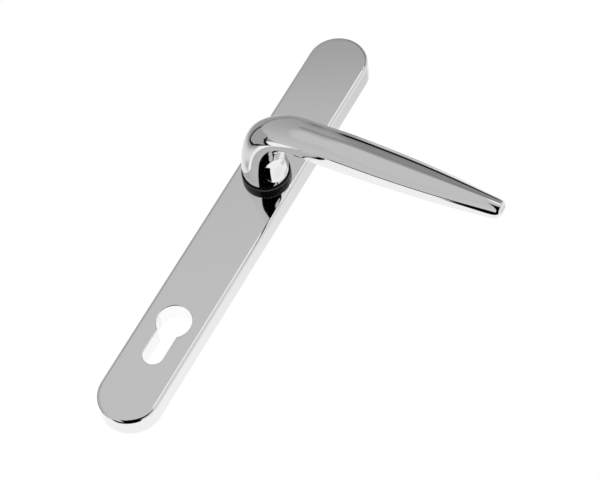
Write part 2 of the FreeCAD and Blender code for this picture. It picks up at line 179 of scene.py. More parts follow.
def look(azimuth, height):
    """The direction at an azimuth and a height."""
    azimuth, height = math.radians(azimuth), math.radians(height)
    return Vector((math.cos(height) * math.cos(azimuth), -math.sin(height), math.cos(height) * math.sin(azimuth)))


up = along((0.0, -1.0, 0.0))
down = up * -1.0
print("Straight out of the door is", [round(number, 3) for number in look(0.0, 90.0)])

# %% [markdown]
# ### The ceiling
# A plain grey that darkens towards one corner of the room, most of all in a narrow strip there. That strip is the dark
# upper band on the grip. Overhead the ceiling is palest, and there it gives the plate its slow change of tone. A ramp
# over the height alone would be simpler, but it leaves both out.

# %% Ceiling
CEILING_BRIGHT = 0.572
CEILING_FALL = 0.195
CORNER_FALL = 0.12
OVERHEAD = 0.585
DARK_CORNER = (-0.243, -0.342, 0.908)


def over(base, mask, other):
    """One number laid over another where a mask is 1."""
    return base * (1.0 - mask) + other * mask


lean = (along(DARK_CORNER) + 0.3) / 1.3
corner_strip = along((1.0, 0.0, 0.60)).step(0.0, 0.2) * along((0.0, 0.0, 1.0)).step(0.3, 0.5)
overhead = up.step(0.74, 0.87)
ceiling = over(CEILING_BRIGHT - CEILING_FALL * lean - CORNER_FALL * corner_strip, overhead, OVERHEAD)
print("The ceiling runs from", OVERHEAD, "down to", round(CEILING_BRIGHT - CEILING_FALL - CORNER_FALL, 2))

# %% [markdown]
# ### The dark room and the gaps
# Behind the camera nothing is lit, and three straight edges bound that darkness: it gives the black patch on the neck
# and the black tail on the plate. Dark cards round the camera could give such edges too. Here a straight edge is just
# the plane through two directions. Two thin dark gaps show between the far edge of the table and the ceiling. They
# are the black line along the grip's upper edge, and the softer one round the bend.

# %% Dark room
FAR_GAP = 0.3


def past(first, second):
    """Above 0 on one side of the straight edge through two directions: the sine of the angle from it."""
    return along(look(*first).cross(look(*second)).normalized())


past_top = along((0.0, 0.188, -1.0)).step(-0.01, 0.03)
past_side = along((1.0, -0.2645, 0.185)).step(-0.01, 0.03)
past_foot = past((-80.0, -8.0), (-10.0, 33.0)).step(-0.02, 0.02)
dark_room = past_top * past_side * past_foot

gap = up.step(-0.06, -0.02) * up.step(0.26, 0.18) * along(look(23.0, 0.0)).step(-0.03, 0.03)
gap = gap * along(look(10.0, 0.0)).step(0.08, -0.04)
far_gap = up.step(-0.14, -0.03) * up.step(0.05, 0.0) * along(look(180.0, 0.0)).step(0.3, 0.5)
far_gap = FAR_GAP * far_gap * along(look(80.0, 0.0)).step(-0.03, 0.03)
print("Ceiling, dark room and gaps take", len(world.node_tree.nodes), "nodes")

# %% [markdown]
# ### The right wall and the lamps
# A pale wall stands to the right, with a row of bright lamps where it meets the ceiling. The lamps are the thin white
# line along the plate's right edge: the rounded edge turns through all the room, and squeezes what it shows into lines.
# A weak shade on the ceiling, beside the lamps, evens out the upper end of the plate. Both are patches with straight
# edges, and a patch is the smallest of the values that its edges give.

# %% Wall and lamps
WALL = 0.71
LAMPS = 1.0
CEILING_SHADE = 0.09


def inside(*corners):
    """Above 0 within the patch whose straight edges join the corners."""
    nearest = past(corners[-1], corners[0])
    for first, second in zip(corners, corners[1:]):
        nearest = nearest.math("MINIMUM", past(first, second))
    return nearest


right_wall = inside((-14.0, -20.0), (72.0, -20.0), (72.0, 40.0), (45.0, 50.0), (0.0, 62.0)).step(-0.02, 0.04)
lamps = inside((58.0, 46.0), (118.0, 56.5), (122.0, 68.0), (34.0, 65.0)).step(-0.01, 0.02)
ceiling = ceiling - CEILING_SHADE * along(look(121.0, 45.0)).step(0.984, 0.991)
ceiling = over(ceiling, right_wall, WALL)
ceiling = over(ceiling, lamps, LAMPS)
above = ceiling * (1.0 - dark_room)
print("Wall", WALL, "and lamps", LAMPS)

# %% [markdown]
# ### The table
# White below the handle, and on its near side right up to its edge. Its far side lies in shade. Upright walls of the
# plate show the white part, so they nearly fade into the background, as in the photograph. Something dark stands
# against the near edge, and at its corner: the crescent at the plate's lower end and the wedge below the grip.

# %% Table
TABLE_FAR = 0.355
TABLE_NEAR = 0.97
LEFT_LIT = 0.42
NEAR_SHADE = 0.22

near_side = along((0.616, 0.0, -0.788)).step(-0.02, 0.06) * down.step(0.15, 0.3)
right_side = along(look(20.0, 0.0)).step(-0.01, 0.04) * down.step(0.18, 0.3) * down.step(0.79, 0.74)
near_side = near_side.math("MAXIMUM", right_side) * (1.0 - NEAR_SHADE * along(look(10.0, 0.0)).step(0.5, 0.7))
left_half = along(look(180.0, 0.0)).step(-0.15, 0.10)
lit_below = over(LEFT_LIT + (1.0 - LEFT_LIT) * down.step(0.78, 0.88), left_half, down.step(0.42, 0.88))
lit = near_side + (1.0 - near_side) * lit_below
table = TABLE_FAR + (TABLE_NEAR - TABLE_FAR) * lit

near_dark = inside((-109.5, -60.0), (-36.0, -60.0), (-33.0, 8.0), (-113.0, 8.0)).step(-0.01, 0.02)
near_dark = near_dark * down.step(0.81, 0.785)
near_corner = inside((-62.0, -2.0), (8.0, 24.0), (12.0, 38.0), (-12.0, 58.0), (-48.0, 30.0)).step(-0.01, 0.02)
near_dark = near_dark.math("MAXIMUM", near_corner)
above_table = up.step(-0.01, 0.01)
tone = over(table, above_table, above) * (1.0 - near_dark)
print("The table runs from", TABLE_NEAR, "down to", TABLE_FAR)

# %% [markdown]
# ### The window
# The grey patch with a black outline on the bend is a window at the far side of the room, in a dark frame. Round it the
# wall is dark too. One patch does for all three, because its value falls off evenly outside its edges.

# %% Window
WINDOW = 0.37
WALL_SHADE = 0.5

window = inside((167.7, 0.0), (-171.0, -27.0), (-134.0, -33.6), (-157.9, 8.3))
shade = window.step(-0.25, -0.05) * (1.0 - near_side) * down.step(-0.02, 0.10)
pane = window.step(-0.02, 0.0)
frame_line = window.step(-0.08, -0.05) * window.step(0.02, -0.01) * past((-157.9, 8.3), (167.7, 0.0)).step(0.02, 0.06)
tone = over(tone * (1.0 - WALL_SHADE * shade), pane, WINDOW)
tone = tone * (1.0 - gap) * (1.0 - far_gap) * (1.0 - frame_line)
print("The window shows a tone of", WINDOW)

# %% [markdown]
# ### Who sees what
# The camera sees plain white behind the handle. Dull surfaces are lit by a softer white from all round, and only glossy
# rays meet the room. More light on the object would whiten the background too, but then pale metal would burn out.

# %% World shader
WHITE = (1.0, 1.0, 1.0, 1.0)
SOFT_LIGHT = 0.7

shown = towards.node("ShaderNodeBackground", {}, {"Color": WHITE, "Strength": tone})
plain = towards.node("ShaderNodeBackground", {}, {"Color": WHITE, "Strength": 1.0})
soft = towards.node("ShaderNodeBackground", {}, {"Color": WHITE, "Strength": SOFT_LIGHT})
seen = towards.node("ShaderNodeLightPath", result="Is Camera Ray")
through = towards.node("ShaderNodeLightPath", result="Is Transmission Ray")
glossy = towards.node("ShaderNodeLightPath", result="Is Glossy Ray")
light = towards.node("ShaderNodeMixShader", {}, {0: seen.math("MAXIMUM", through), 1: soft, 2: plain})
light = towards.node("ShaderNodeMixShader", {}, {0: glossy, 1: light, 2: shown})
node(world.node_tree, "ShaderNodeOutputWorld", {}, {"Surface": light})
print("The room takes", len(world.node_tree.nodes), "nodes")

# %% [markdown]
# ## Floor and lamp
# The floor lies well below the handle, as under a door, and one wide lamp over the camera's shoulder gives the black
# nylon and the dull metals a soft side. Several small lamps would draw hard spots on them. Neither floor nor lamp shows
# in the chrome, whose reflections are all in the world. An operator works on all that is selected, so nothing is
# selected when a new piece is begun.

# %% Floor and lamp
FLOOR_Z = -0.80
FLOOR_WIDTH = 6.0
FLOOR_COLOUR = (0.86, 0.86, 0.86, 1)
FLOOR_ROUGHNESS = 0.9
LAMP_WIDTH = 1.2
LAMP_WATTS = 9.0
LAMP_PLACE = Vector((-0.5, -1.1, 0.9))


def alone(piece=None):
    """Deselects everything, and makes one piece the active and only selected one."""
    bpy.ops.object.select_all(action="DESELECT")
    if piece is not None:
        piece.select_set(True)
        bpy.context.view_layer.objects.active = piece


alone()
bpy.ops.mesh.primitive_plane_add(size=FLOOR_WIDTH, location=(0.0, 0.0, FLOOR_Z))
floor = bpy.context.object
floor.name = "floor"
floor.visible_glossy = False
paper = bpy.data.materials.new("pale_floor")
paper.use_nodes = True
paper.node_tree.nodes["Principled BSDF"].inputs["Base Color"].default_value = FLOOR_COLOUR
paper.node_tree.nodes["Principled BSDF"].inputs["Roughness"].default_value = FLOOR_ROUGHNESS
floor.data.materials.append(paper)
floor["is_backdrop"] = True

lamp_data = bpy.data.lights.new("wide_lamp", "AREA")
lamp_data.shape = "DISK"
lamp_data.size = LAMP_WIDTH
lamp_data.energy = LAMP_WATTS
lamp = bpy.data.objects.new("wide_lamp", lamp_data)
bpy.context.scene.collection.objects.link(lamp)
lamp.location = LAMP_PLACE
lamp.rotation_euler = (-LAMP_PLACE).to_track_quat("-Z", "Y").to_euler()
lamp.visible_glossy = False
print("Lamp", round(LAMP_PLACE.length, 2), "m away")

# %% [markdown]
# ## The lever's section
# Cut across, the grip has a crowned front between two crisp corners, nearly straight sides and a soft rear. The neck
# is round. Two different outlines could be joined, but their points would not match up. Here both are the same eight
# arcs, each drawn through three points and divided into equal steps.

# %% Arcs
def arc_points(a, b, c, steps):
    """Points along the arc from a through b to c, without c."""
    chord_a, chord_b = b - a, c - b
    cross = chord_a.x * chord_b.y - chord_a.y * chord_b.x
    if abs(cross) < 1e-9:
        return [a.lerp(c, i / steps) for i in range(steps)]
    square = [p.length_squared for p in (a, b, c)]
    below = 2 * (a.x * (b.y - c.y) + b.x * (c.y - a.y) + c.x * (a.y - b.y))
    centre = Vector(((square[0] * (b.y - c.y) + square[1] * (c.y - a.y) + square[2] * (a.y - b.y)) / below,
                     (square[0] * (c.x - b.x) + square[1] * (a.x - c.x) + square[2] * (b.x - a.x)) / below))
    start = a - centre
    sweep = start.angle_signed(b - centre) + (b - centre).angle_signed(c - centre)
    points = []
    for i in range(steps):
        spoke = start.copy()
        spoke.rotate(Matrix.Rotation(-sweep * i / steps, 2))
        points.append(centre + spoke)
    return points


eighths = arc_points(Vector((1.0, 0.0)), Vector((0.0, 1.0)), Vector((-1.0, 0.0)), 4)
print("Half a circle in four steps:", [(round(point.x, 2), round(point.y, 2)) for point in eighths])

# %% [markdown]
# ### Grip and neck in one outline
# SHAPE has the sixteen points that the grip's arcs are drawn through, on a half width and a half thickness of 1, and
# TURNS says where each of them lies on the round neck. One number, the squareness, slides every point from the one to
# the other. Blending two finished meshes would do the same, but would need both of them first.

# %% Section
SHAPE = ((-0.925, 0.58), (0.0, 1.0), (0.925, 0.58), (0.983, 0.53), (0.998, 0.44), (0.988, -0.03), (0.93, -0.50),
         (0.83, -0.79), (0.62, -0.93), (0.0, -1.0), (-0.62, -0.93), (-0.83, -0.79), (-0.93, -0.50), (-0.988, -0.03),
         (-0.998, 0.44), (-0.983, 0.53))
TURNS = (138, 90, 42, 34, 26, 0, -30, -45, -60, -90, -120, -135, -150, -180, -206, -214)
STEPS = (10, 3, 5, 4, 6, 4, 5, 3)


def section(half_width, half_thickness, squareness):
    """The section's points as (z, height) pairs in millimetres."""
    corners = []
    for (z, height), turn in zip(SHAPE, TURNS):
        round_z, round_height = math.cos(math.radians(turn)), math.sin(math.radians(turn))
        corners.append(Vector(((round_z + (z - round_z) * squareness) * half_width,
                               (round_height + (height - round_height) * squareness) * half_thickness)))
    points = []
    for i, steps in enumerate(STEPS):
        points += arc_points(corners[2 * i], corners[2 * i + 1], corners[(2 * i + 2) % len(corners)], steps)
    return points


print("A section has", len(section(1, 1, 1)), "points")

# %% [markdown]
# ### A section at its station
# The neck runs straight out of the door and the grip along it, so each section is tilted to stand across its way. An
# empty with a rotation could carry it there. Plain trigonometry gives the points where they belong at once, in metres.

# %% Ring at a station
def at(x, depth, z):
    """A point in millimetres, by its depth in front of the plate's rear face."""
    return Vector((x, -depth, z)) * MM


def lever_ring(x, depth, tilt, half_width, half_thickness, squareness):
    """A section stood at its station: it looks to -X at tilt 0 and straight out of the door at 90."""
    lean = math.radians(tilt)
    return [at(x - height * math.cos(lean), depth + height * math.sin(lean), z)
            for z, height in section(half_width, half_thickness, squareness)]


first_point = lever_ring(0, 0, 0, 1, 1, 0)[0]
print("A round ring of radius 1 mm starts at", [round(number / MM, 2) for number in first_point], "mm")

# %% [markdown]
# ## The lever's stations
# The neck stands on the collar, bends over a 23 mm radius and runs out to the side, where it tapers to a blunt nose
# with a flattened end. Each row is one section. A row of NECK has its depth, half width, half thickness and swell, the
# amount by which only its inner side is fuller. BEND has an angle for the depth, and a squareness before the swell.
# GRIP has x, depth, tilt, half width, half thickness and squareness. NOSE is drawn by the front and the rear point of
# each section and its half width, because its sections tilt over each other.

# %% Stations
FOOT = 15.2
FOOT_RADIUS = 11.35
NECK_TOP = 33.8
BEND_RADIUS = 23.2
NOSE_SQUARENESS = 0.6
NECK = ((FOOT, FOOT_RADIUS, FOOT_RADIUS, 0.0), (FOOT + 5.0, 11.5, 11.5, 0.0), (FOOT + 12.0, 10.7, 10.8, 0.0),
        (NECK_TOP, 9.65, 9.65, 0.75))
BEND = ((26.0, 9.25, 8.0, 0.0, 1.8), (53.0, 9.3, 7.25, 0.05, 1.0), (79.0, 9.3, 7.2, 0.35, 0.2))
GRIP = ((33.0, 57.5, 82.0, 9.0, 7.8, 0.65), (45.0, 58.5, 84.5, 8.75, 7.9, 0.95), (60.0, 59.3, 86.5, 8.55, 7.4, 1.0),
        (75.0, 60.1, 87.0, 8.15, 6.8, 1.0), (90.0, 60.8, 87.0, 7.4, 6.35, 1.0), (105.0, 61.4, 87.0, 6.3, 6.0, 0.92),
        (115.0, 61.8, 87.0, 5.4, 5.65, 0.78), (122.5, 62.1, 87.0, 4.75, 5.35, 0.6))
NOSE = ((126.6, 67.25, 126.2, 57.5, 4.3), (127.9, 67.0, 127.8, 58.9, 3.8), (128.5, 66.4, 128.7, 60.4, 3.2),
        (128.8, 65.6, 129.2, 61.8, 2.5))

rings = [lever_ring(swell, depth, 0, wide, thick + swell, 0) for depth, wide, thick, swell in NECK]
for turn, wide, thick, square, swell in BEND:
    angle = math.radians(turn)
    rings.append(lever_ring(BEND_RADIUS - (BEND_RADIUS - swell) * math.cos(angle),
                            NECK_TOP + (BEND_RADIUS - swell) * math.sin(angle), turn, wide, thick + swell, square))
rings += [lever_ring(*station) for station in GRIP]
for front_x, front, rear_x, rear, wide in NOSE:
    rings.append(lever_ring((front_x + rear_x) / 2, (front + rear) / 2,
                            math.degrees(math.atan2(front - rear, rear_x - front_x)), wide,
                            math.hypot(front - rear, front_x - rear_x) / 2, NOSE_SQUARENESS))
print("The lever is drawn through", len(rings), "rings")

# %% [markdown]
# ## The lever's body
# The real one is a die casting, ground and polished by hand, so no line runs round it. A curve with a bevel would be
# quick, but can't change its section. Here one circle is put on the foot and extruded from ring to ring, and each new
# ring is shaped to its section. A grid of faces closes the nose.

# %% The lever's cage
def set_ring(piece, ring):
    """Moves the selected vertices, in the order in which they were made, to the points of a ring."""
    mesh = bmesh.from_edit_mesh(piece.data)
    mesh.verts.index_update()
    chosen = sorted((v for v in mesh.verts if v.select), key=lambda v: v.index)
    for vertex, point in zip(chosen, ring):
        vertex.co = point


def extrude_rings(name, rings):
    """A circle extruded through a list of rings, open at both ends and left in edit mode."""
    alone()
    bpy.ops.mesh.primitive_circle_add(vertices=len(rings[0]), radius=0.01)
    piece = bpy.context.object
    piece.name = piece.data.name = name
    bpy.ops.object.mode_set(mode="EDIT")
    bpy.ops.mesh.select_all(action="SELECT")
    set_ring(piece, rings[0])
    for ring in rings[1:]:
        bpy.ops.mesh.extrude_region_move()
        set_ring(piece, ring)
    return piece


def close_up():
    """Turns all faces outwards and leaves edit mode."""
    bpy.ops.mesh.select_mode(type="VERT")
    bpy.ops.mesh.select_all(action="SELECT")
    bpy.ops.mesh.normals_make_consistent(inside=False)
    bpy.ops.object.mode_set(mode="OBJECT")


lever = extrude_rings("lever_body", rings)
bpy.ops.mesh.fill_grid(span=len(rings[0]) // 4)
close_up()
print("The cage has", len(lever.data.polygons), "faces")

# %% [markdown]
# ### Polished smooth
# A subdivision surface makes the cage as smooth as the polished casting. Such a surface shrinks away from its cage,
# and drawing everything larger would only hide that. So the cage is pushed out a few times, each time by what the
# smooth skin misses, until the skin passes through the drawn points.

# %% Lever body
def fit_cage(piece, count, rounds=8):
    """Pushes the cage outwards until its smooth surface meets the first points of the piece, as they were drawn."""
    goal = [v.co.copy() for v in piece.data.vertices][:count]
    modifier = piece.modifiers.new("smooth", "SUBSURF")
    modifier.levels = modifier.render_levels = 1
    for _ in range(rounds):
        bpy.context.view_layer.update()
        skin = piece.evaluated_get(bpy.context.evaluated_depsgraph_get()).to_mesh()
        off = 0.0
        for i, point in enumerate(goal):
            miss = point - skin.vertices[i].co
            off = max(off, miss.length)
            piece.data.vertices[i].co += miss
        piece.data.update()
    print(piece.name, "cage: largest miss", round(off / MM, 4), "mm")
    piece.modifiers.remove(modifier)


def apply_modifier(piece, kind, **settings):
    alone(piece)
    modifier = piece.modifiers.new(kind.lower(), kind)
    for name, setting in settings.items():
        setattr(modifier, name, setting)
    bpy.ops.object.modifier_apply(modifier=modifier.name)


fit_cage(lever, sum(len(ring) for ring in rings))
apply_modifier(lever, "SUBSURF", levels=2, render_levels=2)
print("Lever:", len(lever.data.polygons), "faces, reach", round(max(v.co.x for v in lever.data.vertices) / MM, 2), "mm")

# %% [markdown]
# ## The lever's shank
# The same casting goes on through the plate as a 14 mm shank, turned on a lathe. A separate cylinder would leave a
# seam, so it grows from the open foot by more extruded circles: a small edge, the underside that runs on the bush, the
# shank, the groove for the retaining ring and the chamfered end.

# %% Lever shank
SHANK = 7.0
SHANK_END = 0.4
GROOVE = 6.45
CLIP_REAR, CLIP_FRONT = 1.2, 2.2
EDGE = 0.25


def select_open_edges(piece):
    """Selects the edges that have only one face, in edit mode."""
    bpy.ops.mesh.select_all(action="DESELECT")
    bpy.ops.mesh.select_mode(type="EDGE")
    for edge in bmesh.from_edit_mesh(piece.data).edges:
        edge.select = edge.is_boundary
    bmesh.update_edit_mesh(piece.data)


def grow_turned(piece, profile):
    """Extrudes the open edge through circles given as (radius, depth), and leaves the last one selected."""
    bpy.ops.object.mode_set(mode="EDIT")
    select_open_edges(piece)
    for radius, depth in profile:
        bpy.ops.mesh.extrude_region_move()
        for vertex in bmesh.from_edit_mesh(piece.data).verts:
            if vertex.select:
                way = Vector((vertex.co.x, vertex.co.z)).normalized() * radius * MM
                vertex.co = (way.x, -depth * MM, way.y)


grow_turned(lever, ((FOOT_RADIUS - EDGE * 0.3, FOOT - EDGE * 0.7), (FOOT_RADIUS - EDGE, FOOT - EDGE),
                    (SHANK, FOOT - EDGE), (SHANK, CLIP_FRONT), (GROOVE, CLIP_FRONT), (GROOVE, CLIP_REAR),
                    (SHANK, CLIP_REAR), (SHANK, SHANK_END + EDGE), (SHANK - EDGE, SHANK_END)))
bpy.ops.mesh.edge_face_add()
close_up()
print("Shank closed:", len(lever.data.polygons), "faces")

# %% [markdown]
# ### Flats and spindle socket
# Two flats on the shank drive the spring, and the square hole takes the spindle. On the real one they are milled and
# broached. They could be insets in the rings, but the circle has no points where they need them, so blocks cut them.

# %% Flats and socket
FLATS, FLATS_FRONT = 6.2, 4.9
SOCKET, SOCKET_FRONT = 4.05, 13.0
CLEAR_SIDE, CLEAR_REAR = 8, -1
LEVER_CREASE = 32


def cut_blocks(piece, blocks):
    """Cuts blocks, given by two corners, out of a piece."""
    for low, high in blocks:
        alone()
        bpy.ops.mesh.primitive_cube_add(size=1, location=(low + high) / 2)
        block = bpy.context.object
        block.scale = [abs(number) for number in high - low]
        bpy.ops.object.transform_apply(location=True, rotation=True, scale=True)
        apply_modifier(piece, "BOOLEAN", object=block, operation="DIFFERENCE", solver="EXACT")
        bpy.data.objects.remove(block)


def smooth(angle):
    """Shades the selected piece smooth, with a crisp edge wherever two faces meet at more than an angle."""
    bpy.ops.object.shade_smooth_by_angle(angle=math.radians(angle))


cut_blocks(lever, ((at(FLATS, FLATS_FRONT, -CLEAR_SIDE), at(CLEAR_SIDE, CLEAR_REAR, CLEAR_SIDE)),
                   (at(-CLEAR_SIDE, FLATS_FRONT, -CLEAR_SIDE), at(-FLATS, CLEAR_REAR, CLEAR_SIDE)),
                   (at(-SOCKET, SOCKET_FRONT, -SOCKET), at(SOCKET, CLEAR_REAR, SOCKET))))
alone(lever)
smooth(LEVER_CREASE)
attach(lever, "lever")
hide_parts("lever")
print("Lever with shank:", len(lever.data.polygons), "faces")

# %% [markdown]
# ## The backplate
# One casting, hollow behind, with ribs, lugs and posts. All that could be drawn again, but the packed model has it
# right, so a copy of that mesh is merged, which makes its loose triangles one skin, and is shaded so that the flats
# stay flat and the rounded rim is smooth. Weighted normals give the large flat faces the say over the narrow rounding,
# which is what keeps a mirror from looking dented.

# %% Backplate
PLATE_CREASE = 35


def merged_copy(node_name, name, crease):
    """A copy of a packed node's mesh as one joined skin."""
    piece = bpy.data.objects.new(name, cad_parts[node_name].data.copy())
    bpy.context.scene.collection.objects.link(piece)
    piece.data.name = name
    piece.data.materials.clear()
    alone(piece)
    bpy.ops.object.mode_set(mode="EDIT")
    bpy.ops.mesh.select_all(action="SELECT")
    bpy.ops.mesh.remove_doubles(threshold=1e-6)
    bpy.ops.object.mode_set(mode="OBJECT")
    if piece.data.has_custom_normals:
        bpy.ops.mesh.customdata_custom_splitnormals_clear()
    smooth(crease)
    apply_modifier(piece, "WEIGHTED_NORMAL", keep_sharp=True)
    return piece


plate = merged_copy("backplate", "backplate_casting", PLATE_CREASE)
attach(plate, "plate")
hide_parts("backplate")
print("Backplate:", len(plate.data.polygons), "faces")

# %% [markdown]
# ## The collar
# The black bearing bush is a moulded ring: a sleeve in the plate's bore and a flange with a soft shoulder, which is the
# collar under the lever. Spinning an outline would do as well. Extruding a circle round the outline, and bridging the
# last ring to the first, makes the same closed skin with the helpers that are already there.

# %% Collar
PLATE_FRONT = 11.2
COLLAR = 12.2
COLLAR_TOP = 15.1
SHOULDER = 1.1
SLEEVE_OUT, SLEEVE_IN = 8.06, 7.06
BOSS_REAR = 5.8
BUSH_EDGE = 0.2
RING_STEPS = 96


def circle(radius, depth):
    angles = [2 * math.pi * i / RING_STEPS for i in range(RING_STEPS)]
    return [at(radius * math.cos(angle), depth, radius * math.sin(angle)) for angle in angles]


def rounded(radius, depth, edge, steps=8):
    """A rounded outer corner as (radius, depth) points, from its side to its top."""
    angles = [math.radians(90 * i / steps) for i in range(steps + 1)]
    return [(radius - edge + edge * math.cos(angle), depth - edge + edge * math.sin(angle)) for angle in angles]


def turned(name, profile, crease=32):
    """A closed ring turned from an outline of (radius, depth) points."""
    piece = extrude_rings(name, [circle(radius, depth) for radius, depth in profile])
    select_open_edges(piece)
    bpy.ops.mesh.bridge_edge_loops()
    close_up()
    smooth(crease)
    print(name, "has", len(piece.data.polygons), "faces")
    return piece


sleeve = [(SLEEVE_IN, BOSS_REAR + BUSH_EDGE), (SLEEVE_IN + BUSH_EDGE, BOSS_REAR), (SLEEVE_OUT - BUSH_EDGE, BOSS_REAR),
          (SLEEVE_OUT, BOSS_REAR + BUSH_EDGE), (SLEEVE_OUT, PLATE_FRONT)]
flange = [(COLLAR, PLATE_FRONT)] + rounded(COLLAR, COLLAR_TOP, SHOULDER) + [(SLEEVE_IN, COLLAR_TOP)]
collar = turned("collar_bush", sleeve + flange)
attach(collar, "plate")
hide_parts("neck_bush")

# %% [markdown]
# ## The thrust washer
# A plain acetal ring between the plate's boss and the driver. A flattened tube would have sharp edges, which moulded
# acetal never has, so its outline goes round the same way with four broken corners.

# %% Thrust washer
WASHER_REAR, WASHER_FRONT, WASHER_RADIUS, BREAK = 5.23, 5.8, 11.09, 0.12
washer = turned("acetal_washer", [(SLEEVE_IN, WASHER_FRONT - BREAK), (SLEEVE_IN, WASHER_REAR + BREAK),
                                  (SLEEVE_IN + BREAK, WASHER_REAR), (WASHER_RADIUS - BREAK, WASHER_REAR),
                                  (WASHER_RADIUS, WASHER_REAR + BREAK), (WASHER_RADIUS, WASHER_FRONT - BREAK),
                                  (WASHER_RADIUS - BREAK, WASHER_FRONT), (SLEEVE_IN + BREAK, WASHER_FRONT)])
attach(washer, "plate")
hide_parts("thrust_washer")

# %% [markdown]
# ## The return spring
# One wire: a straight leg against the plate's rib, two and a quarter turns, and a hook bent into the driver's notch.
# The screw modifier makes clean coils, but not the leg and the hook in one piece with them. So the wire's centre line
# is written down first, turn by turn.

# %% The wire's line
COIL = 12.3
COIL_FRONT, COIL_REAR = 8.3, 3.65
TURNS_OF_WIRE = 2.25
COIL_STEPS = 108
LEG = 8.0
HOOK_BEND = 1.8
HOOK_END = 8.5
HOOK_STEPS = 8


def coil_point(turns):
    angle = math.pi + 2 * math.pi * turns
    depth = COIL_FRONT - (COIL_FRONT - COIL_REAR) * turns / TURNS_OF_WIRE
    return at(COIL * math.cos(angle), depth, COIL * math.sin(angle))


early = math.asin(HOOK_BEND / (COIL - HOOK_BEND)) / (2 * math.pi)
start = coil_point(0.0)
line = [start + Vector((0, 0, LEG * MM * share)) for share in (1.0, 0.5)]
line += [coil_point((TURNS_OF_WIRE - early) * i / COIL_STEPS) for i in range(COIL_STEPS + 1)]
way = (line[-1] - line[-2]).normalized()
inward = Vector((0, 0, 1))
centre = line[-1] + (inward - way * inward.dot(way)).normalized() * HOOK_BEND * MM
spoke = line[-1] - centre
for i in range(1, HOOK_STEPS + 1):
    angle = math.radians(90 * i / HOOK_STEPS)
    line.append(centre + spoke * math.cos(angle) + way * spoke.length * math.sin(angle))
line.append(Vector((line[-1].x, line[-1].y, -HOOK_END * MM)))
wire_length = sum((after - before).length for before, after in zip(line, line[1:]))
print("The wire has", len(line), "points and is", round(wire_length / MM, 1), "mm long")

# %% [markdown]
# ### The wire's skin
# A small circle is carried along that line and extruded at each step, never turning about the line, so that the drawn
# finish doesn't twist. The leg stays with the plate while the hook turns with the lever, but the piece here rides on
# neither body.

# %% Return spring
WIRE = 1.6
WIRE_STEPS = 14
WIRE_CREASE = 40


def wire_rings(line, radius):
    """A circle stood across the line at each of its points, with no twist from one to the next."""
    angles = [2 * math.pi * k / WIRE_STEPS for k in range(WIRE_STEPS)]
    rings = []
    side = Vector((0, 1, 0))
    for i, point in enumerate(line):
        ahead = (line[min(i + 1, len(line) - 1)] - line[max(i - 1, 0)]).normalized()
        side = (side - ahead * side.dot(ahead)).normalized()
        other = ahead.cross(side)
        rings.append([point + (side * math.cos(angle) + other * math.sin(angle)) * radius for angle in angles])
    return rings


spring = extrude_rings("spring_wire", wire_rings(line, WIRE / 2 * MM))
select_open_edges(spring)
bpy.ops.mesh.edge_face_add()
close_up()
smooth(WIRE_CREASE)
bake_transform(spring)
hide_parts("return_spring")
print("Spring:", len(spring.data.polygons), "faces")

# %% [markdown]
# ## Finishes
# No surface of the real handle is one flat colour, not even chrome. Painted pictures could say so, but would need to be
# unwrapped and would blur close up. Procedural patterns need neither. They read Object coordinates, in metres, so a
# noise scale of 100 makes spots of about a centimetre.

# %% A fresh material
def fresh(name):
    """A new material, with its shader and the place on the surface."""
    material = bpy.data.materials.new(name)
    material.use_nodes = True
    tree = material.node_tree
    return material, tree.nodes["Principled BSDF"], node(tree, "ShaderNodeTexCoord", result="Object")


def link(value, target):
    value.tree.links.new(value.socket, target)


def noise(place, scale, detail=3.0, stretch=(1.0, 1.0, 1.0)):
    stretched = place.node("ShaderNodeMapping", {}, {"Vector": place, "Scale": stretch})
    return place.node("ShaderNodeTexNoise", {}, {"Vector": stretched, "Scale": scale, "Detail": detail}, "Fac")


def bump(height, depth, under=None):
    """A normal from a height between 0 and 1 that stands for a depth in metres, over another bump if one is given."""
    sockets = {"Height": height, "Distance": depth, "Strength": 1.0}
    if under is not None:
        sockets["Normal"] = under
    return height.node("ShaderNodeBump", {}, sockets, "Normal")


def grey(level, blue=0.0):
    return (level, level, level + blue, 1.0)


def wear(piece, material):
    """Puts a finish on a piece."""
    piece.data.materials.append(material)
    print(piece.name, "wears", material.name, "with", len(material.node_tree.nodes), "nodes")


print("Noise at a scale of 100 makes spots of about", round(1 / 100 / MM), "mm")

# %% [markdown]
# ### Polished chrome
# Bright nickel under a thin layer of chrome, on a buffed casting. A mirror with no roughness would look computed. The
# real one is nearly perfect: buffing leaves it some thousandths of a millimetre wavy over a centimetre, and handling
# leaves it a little less sharp in places.

# %% Chrome
CHROME_TINT = grey(0.88)
SHARPEST, HANDLED, HANDLED_SCALE = 0.025, 0.03, 150.0
WAVE_SCALE, WAVE_DEPTH = 70.0, 0.000004


def chrome_base(name):
    """A chromed material with its shader, its place, its roughness and the waves of its surface."""
    material, shader, place = fresh(name)
    shader.inputs["Base Color"].default_value = CHROME_TINT
    shader.inputs["Metallic"].default_value = 1.0
    gloss = SHARPEST + HANDLED * noise(place, HANDLED_SCALE)
    waves = bump(noise(place, WAVE_SCALE, 1.0), WAVE_DEPTH)
    return material, shader, place, gloss, waves


chrome, shader, place, gloss, waves = chrome_base("polished_chrome")
link(gloss, shader.inputs["Roughness"])
link(waves, shader.inputs["Normal"])
wear(lever, chrome)
